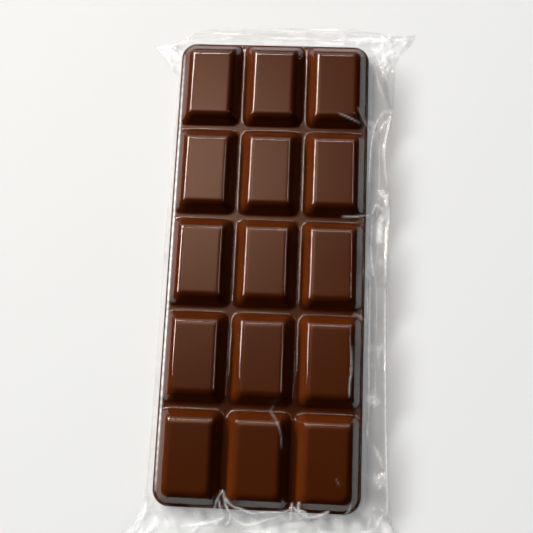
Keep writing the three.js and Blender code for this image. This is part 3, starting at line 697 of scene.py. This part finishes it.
def haze(x, y, beyond):
    """The faint tone of the slack film, which fades beside the bar as
    exp(-(distance / reach)^2): white in slow patches and more so at the near end,
    partly a milky film and partly painted light that lifts the shade beside the
    bar, and grey along the near half of the right side, a painted shadow of the bar."""
    milky = np.clip(0.75 + gentle_waves(x, y, MILKY_WAVES, 1.0), 0, 1)
    nearby = (np.clip(beyond / 1.2, 0, 1)
              * np.exp(-(np.clip(beyond, 0, None) / HAZE_REACH) ** 2))
    at_near_end = np.clip((NEAR_END - y) / NEAR_END_BAND, 0, 1)
    # painted shadow: the right side's grey stands for the bar's shadow falling under the film
    in_bar_shadow = np.clip((BAR_SHADOW_END - y) / BAR_SHADOW_BAND, 0, 1) * (1 - at_near_end) * (x > 0)
    white = milky * nearby * (HAZE_WHITE + HAZE_WHITE_NEAR * at_near_end)
    return white, BAR_SHADOW_GREY * nearby * in_bar_shadow


def seal_ribs(x, y):
    """The pressed ribs of the two end seals: raised cosines along Y whose lines
    wander a little.  Painted highlights make them white on their crests and
    painted shade grey between them."""
    total, white, grey = (np.zeros_like(x) for _ in range(3))
    wander = 0.35 * np.sin(x / 8.3) + 0.15 * np.sin(x / 3.1 + 1)
    for start, end in SEALS:
        across = (y + wander - start) / (end - start)
        inside = np.clip(8 * across, 0, 1) * np.clip(8 * (1 - across), 0, 1)
        rib = (1 - np.cos(across * SEAL_RIBS * 2 * math.pi)) / 2
        total += RIB_HEIGHT * inside * rib
        white = np.maximum(white, RIB_WHITE * inside * rib ** 4)
        grey = np.maximum(grey, RIB_GREY * inside * (1 - rib) ** 2)
    return total, white, grey


def film_wrinkles(x, y, beyond):
    """What is added to the drawn-down film: crumples, which fade out on the bar,
    creases left by handling and the ribs of the end seals.  The heights add up.
    Also the largest of their marks and the haze's: how white each place is with
    painted highlight, how grey with painted shade, and how dull because it is crumpled."""
    crumples, facet_white, facet_grey, dull = crumpled_places(x, y)
    loose = np.clip(beyond / 1.5 + 1.2, 0, 1)
    patchy = np.clip(0.55 + gentle_waves(x, y, PATCH_WAVES, 1.6), 0, 1)
    creases, crease_white, crease_grey = all_creases(x, y)
    haze_white, bar_shadow_grey = haze(x, y, beyond)
    ribs, rib_white, rib_grey = seal_ribs(x, y)
    white = [facet_white * loose * patchy, crease_white, haze_white, rib_white * patchy]
    grey = [facet_grey * loose, crease_grey, bar_shadow_grey, rib_grey]
    return (crumples * loose + creases + ribs, np.maximum.reduce(white),
            np.maximum.reduce(grey), dull)


def how_free(rise, beyond, dull):
    """The share of its own gloss that the film keeps: less where it clings to the
    flanks of the blocks, above the groove floor and below their tops, well inside
    the bar's sides, and less where it is crumpled."""
    climb = rise / (BAR_HEIGHT - SLAB_HEIGHT)
    on_flank = np.clip(climb * 8, 0, 1) * np.clip((CLING_TOP - climb) * 25, 0, 1)
    clinging = on_flank * (beyond < -CLING_INSIDE)
    return (1 - CLING_LOSS * clinging) * (1 - DULL_LOSS * dull)


def make_film(material):
    """The bag as one closed surface.  Its front follows the blocks with a wider
    turn in the grooves, leaves the bar's rim for the table and ends at the outer
    edge; its back lies flat on the table."""
    plan = sheet_plan()
    x, y = plan[..., 0], plan[..., 1]
    beyond = -inset_from(x, y, *SLAB_HALF, BAR_CORNER)
    on_blocks = height_of_bar(x, y, FILM_REACH, FILM_FOOT, FILM_GAP)
    drawn = sample(drawn_down_film(), x, y) + FILM_GAP
    lowest = np.maximum(height_of_bar(x, y, 0.0, FOOT_FILLET, 0.0), 0) + LEAST_GAP
    wrinkles, white, grey, dull = film_wrinkles(x, y, beyond)
    height = smooth_max(smooth_max(on_blocks, drawn, DRAWN_BLEND) + wrinkles,
                        lowest, WRINKLE_BLEND)
    at_edge = np.ones(x.shape, bool)
    at_edge[1:-1, 1:-1] = False
    height = FILM_FLOOR + np.where(at_edge, FILM_GAP, height)
    # painted shade along the film's cut edge, and no painted highlight there
    white, grey = np.where(at_edge, 0.0, white), np.where(at_edge, EDGE_GREY, grey)
    free = how_free(on_blocks - SLAB_HEIGHT - FILM_GAP, beyond, dull)
    front = np.concatenate([plan, height[..., None]], -1)

    columns, rows = x.shape
    number = np.arange(columns * rows).reshape(columns, rows)
    loop = np.concatenate([number[:-1, 0], number[-1, :-1], number[:0:-1, -1], number[0, :0:-1]])
    edge = front.reshape(-1, 3)[loop]
    back = np.stack([edge] + [
        np.column_stack([edge[:, :2] * (1 - share), np.full(len(edge), FILM_FLOOR)])
        for share in (0.0, 0.1, 0.4, 1.0)])
    quads = np.concatenate([grid_faces(columns, rows, False),
                            grid_faces(*back.shape[:2], True, columns * rows)])
    everything = np.concatenate([front.reshape(-1, 3), back.reshape(-1, 3)])
    unmarked = np.zeros(back.size // 3)
    # the first mark carries the painted highlights and white haze, shade the painted shade
    marks = {name: np.concatenate([values.ravel(), unmarked])
             for name, values in (("painted_glint_and_haze", white), ("shade", grey), ("free", free))}
    return make_piece("clear_film_bag", everything, quads, material, marks)


# ---- materials -------------------------------------------------------------
def new_material(name):
    """An empty node material, with its output and texture coordinates."""
    material = bpy.data.materials.new(name)
    material.use_nodes = True
    tree = material.node_tree
    tree.nodes.clear()
    output = tree.nodes.new("ShaderNodeOutputMaterial")
    place = tree.nodes.new("ShaderNodeTexCoord")
    return material, tree, output, place


def noise(tree, place, scale, detail):
    """Noise that is fixed to the object, of about 0.3 to 0.7."""
    node = tree.nodes.new("ShaderNodeTexNoise")
    node.inputs["Scale"].default_value = scale
    node.inputs["Detail"].default_value = detail
    tree.links.new(place.outputs["Object"], node.inputs["Vector"])
    return node.outputs["Fac"]


def spread(tree, value, low, high, start=0.3, end=0.7):
    """A value of start to end carried to low to high."""
    node = tree.nodes.new("ShaderNodeMapRange")
    node.inputs["From Min"].default_value = start
    node.inputs["From Max"].default_value = end
    node.inputs["To Min"].default_value = low
    node.inputs["To Max"].default_value = high
    tree.links.new(value, node.inputs["Value"])
    return node.outputs["Result"]


def maths(tree, operation, first, second=None):
    """The result of a Math node, whose second value is a socket or a number."""
    node = tree.nodes.new("ShaderNodeMath")
    node.operation = operation
    tree.links.new(first, node.inputs[0])
    if isinstance(second, float):
        node.inputs[1].default_value = second
    elif second is not None:
        tree.links.new(second, node.inputs[1])
    return node.outputs["Value"]


def chocolate_material():
    """Tempered milk chocolate: two close browns in slow patches, and a soft gloss
    that varies a little."""
    material, tree, output, place = new_material("milk_chocolate")
    shader = tree.nodes.new("ShaderNodeBsdfPrincipled")
    shader.inputs["Specular IOR Level"].default_value = 0.08
    colours = tree.nodes.new("ShaderNodeValToRGB")
    colours.color_ramp.elements[0].position = 0.3
    colours.color_ramp.elements[0].color = (0.075, 0.0142, 0.0017, 1)
    colours.color_ramp.elements[1].position = 0.7
    colours.color_ramp.elements[1].color = (0.085, 0.0170, 0.0022, 1)
    tree.links.new(noise(tree, place, 45.0, 3.0), colours.inputs["Fac"])
    tree.links.new(colours.outputs["Color"], shader.inputs["Base Color"])
    gloss = spread(tree, noise(tree, place, 120.0, 4.0), 0.34, 0.42)
    tree.links.new(gloss, shader.inputs["Roughness"])
    tree.links.new(shader.outputs["BSDF"], output.inputs["Surface"])
    return material


def film_material():
    """Clear film: it lets light through and mirrors a share of it, which rises
    with the fifth power of the slant as Schlick's formula for gloss does.  The
    marks on the mesh say where painted highlights lie, white lines along creases,
    crumpled edges and rib crests and the white haze, which also glow a little; where
    painted shade lies, a grey tint; and how free it is: it mirrors less where it
    clings to a block or is crumpled, and not at all on its back."""
    material, tree, output, _ = new_material("clear_film")

    def mark(name):
        node = tree.nodes.new("ShaderNodeAttribute")
        node.attribute_name = name
        return node.outputs["Fac"]

    def mixed(share, first, second):
        node = tree.nodes.new("ShaderNodeMixShader")
        tree.links.new(share, node.inputs["Fac"])
        tree.links.new(first.outputs[0], node.inputs[1])
        tree.links.new(second.outputs[0], node.inputs[2])
        return node

    clear = tree.nodes.new("ShaderNodeBsdfTransparent")
    # painted shade: the shade mark tints the film grey, both what shows through it and the light
    # that passes it
    tints = tree.nodes.new("ShaderNodeValToRGB")
    tints.color_ramp.elements[0].color = (0.995, 0.995, 0.995, 1)
    tints.color_ramp.elements[1].color = (0.40, 0.40, 0.385, 1)
    tree.links.new(mark("shade"), tints.inputs["Fac"])
    tree.links.new(tints.outputs["Color"], clear.inputs["Color"])
    gloss = tree.nodes.new("ShaderNodeBsdfGlossy")
    gloss.inputs["Color"].default_value = (1, 1, 1, 1)
    gloss.inputs["Roughness"].default_value = 0.03
    slant = tree.nodes.new("ShaderNodeLayerWeight")
    slant.inputs["Blend"].default_value = 0.5
    power = maths(tree, "POWER", slant.outputs["Facing"], 5.0)
    mirrored = maths(tree, "MULTIPLY", spread(tree, power, 0.085, 0.6, 0.0, 1.0), mark("free"))
    glint_and_haze_share = maths(tree, "MULTIPLY", mark("painted_glint_and_haze"), 0.85)
    # painted highlight: the white of the marked lines and haze, lit and also glowing by emission
    # though the film is no lamp
    white = tree.nodes.new("ShaderNodeBsdfPrincipled")
    white.inputs["Base Color"].default_value = (0.93, 0.93, 0.92, 1)
    white.inputs["Roughness"].default_value = 0.6
    white.inputs["Emission Color"].default_value = (1, 1, 0.98, 1)
    white.inputs["Emission Strength"].default_value = 0.55
    seen = mixed(glint_and_haze_share, mixed(mirrored, clear, gloss), white)
    tree.links.new(seen.outputs[0], output.inputs["Surface"])
    return material


def floor_material():
    """A matt pale table, with a faint glow of its own in the place of the light
    that a pale room throws back."""
    material, tree, output, _ = new_material("pale_table")
    shader = tree.nodes.new("ShaderNodeBsdfPrincipled")
    shader.inputs["Base Color"].default_value = (0.90, 0.895, 0.885, 1)
    shader.inputs["Roughness"].default_value = 0.7
    shader.inputs["Emission Color"].default_value = (0.94, 1, 1.04, 1)
    shader.inputs["Emission Strength"].default_value = 0.16
    tree.links.new(shader.outputs["BSDF"], output.inputs["Surface"])
    return material


# ---- the stage, in metres ---------------------------------------------------
CAMERA_PLACE = Vector((12.6, -56.1, 275.4)) * MM
CAMERA_ROLL = math.radians(2.49)
CAMERA_LENS = 53.25
TABLE_SPAN = (-1.5, 1.5)

# The card over the table that the bar mirrors: its height and spans, the
# brightest point of its glow, how far that reaches, and its colour.
CARD_HEIGHT, CARD_X, CARD_Y = 0.6, (-0.9, 0.6), (-0.5, 1.0)
CARD_BRIGHTEST, CARD_REACH = (-0.155, 0.235, 0), 0.175
CARD_COLOUR = (1.42, 0.93, 0.64, 1)

# Each light's name, direction from the bar, distance, size, brightness, colour,
# and whether it is mirrored.
WARM = (1, 0.84, 0.74)
LIGHTS = (
    ("key_left", (-0.80, 0.46, 0.335), 5.60, (5.40, 0.50), 57.5, (0.98, 1, 1), False),
    ("fill_left", (-0.62, 0.56, 0.74), 2.40, (1.87, 1.87), 3.0, (1, 0.95, 0.89), False),
    ("panel_far", (-0.25, 0.80, 0.62), 0.80, (0.80, 0.45), 0.8, (1, 1, 1), True),
    ("strip_left", (-0.54, 0.37, 0.78), 0.60, (0.50, 0.086), 12.0, WARM, True),
    ("strip_right", (0.42, 0.20, 0.90), 0.60, (0.32, 0.048), 3.2, WARM, True),
    ("strip_far", (-0.10, 0.60, 0.80), 0.60, (0.34, 0.031), 8.0, WARM, True))


def make_camera():
    """A camera aimed at the origin, level with X but for its roll."""
    camera = bpy.data.cameras.new("camera")
    camera.lens = CAMERA_LENS
    camera.sensor_width = 36.0
    camera.clip_start = 0.01
    holder = add_object("camera", camera)
    aim = (-CAMERA_PLACE).normalized()
    right = aim.cross(Vector((0, 1, 0))).normalized()
    up = right.cross(aim)
    turned = Matrix((right, up, -aim)).transposed() @ Matrix.Rotation(CAMERA_ROLL, 3, "Z")
    holder.matrix_world = Matrix.Translation(CAMERA_PLACE) @ turned.to_4x4()
    bpy.context.scene.camera = holder


def make_light(name, direction, distance, size, radiance, colour, is_mirrored):
    """A soft rectangle of light that faces the bar.  Its power is pi times its
    area times the brightness it is seen with.  It is either mirrored in what
    is glossy or lights the surfaces."""
    lamp = bpy.data.lights.new(name, "AREA")
    lamp.shape = "RECTANGLE"
    lamp.size, lamp.size_y = size
    lamp.color = colour
    lamp.energy = radiance * math.pi * size[0] * size[1]
    holder = add_object(name, lamp)
    place = Vector(direction).normalized() * distance
    holder.location = place
    holder.rotation_euler = (-place).to_track_quat("-Z", "Y").to_euler()
    holder.visible_glossy = is_mirrored
    holder.visible_diffuse = not is_mirrored


def glow_material():
    """Light that falls off round the brightest point as exp(-(distance /
    reach)^2)."""
    material, tree, output, place = new_material("card_glow")
    away = tree.nodes.new("ShaderNodeVectorMath")
    away.operation = "DISTANCE"
    away.inputs[1].default_value = CARD_BRIGHTEST
    tree.links.new(place.outputs["Object"], away.inputs[0])
    square = maths(tree, "POWER", away.outputs["Value"], 2.0)
    glow = maths(tree, "EXPONENT", maths(tree, "MULTIPLY", square, -1 / CARD_REACH ** 2))
    light = tree.nodes.new("ShaderNodeEmission")
    light.inputs["Color"].default_value = CARD_COLOUR
    tree.links.new(glow, light.inputs["Strength"])
    tree.links.new(light.outputs["Emission"], output.inputs["Surface"])
    return material


def add_rectangle(name, x_span, y_span, material, looks_down=False):
    """A level rectangle of the stage about the origin."""
    corners = [(x_span[0], y_span[0], 0), (x_span[1], y_span[0], 0),
               (x_span[1], y_span[1], 0), (x_span[0], y_span[1], 0)]
    mesh = bpy.data.meshes.new(name)
    mesh.from_pydata(corners, [], [(3, 2, 1, 0) if looks_down else (0, 1, 2, 3)])
    mesh.materials.append(material)
    holder = add_object(name, mesh)
    return holder


def make_stage():
    """The table, a pale world that only the camera sees, the lights, and the
    card, which only what is glossy sees."""
    add_rectangle("table", TABLE_SPAN, TABLE_SPAN, floor_material())
    world = bpy.data.worlds.new("studio")
    bpy.context.scene.world = world
    world.use_nodes = True
    world.node_tree.nodes["Background"].inputs["Color"].default_value = (0.80, 0.80, 0.79, 1)
    world.cycles_visibility.diffuse = False
    world.cycles_visibility.glossy = False
    for light in LIGHTS:
        make_light(*light)
    card = add_rectangle("glow_card", CARD_X, CARD_Y, glow_material(), looks_down=True)
    card.location.z = CARD_HEIGHT
    card.visible_diffuse = False
    card.visible_shadow = False
    bpy.context.scene.view_settings.view_transform = "Standard"


make_camera()
make_stage()
bar = make_chocolate_bar(chocolate_material())
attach(bar, "root")
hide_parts("chocolate_bar")
film = make_film(film_material())
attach(film, "root")
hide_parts("film_wrap")
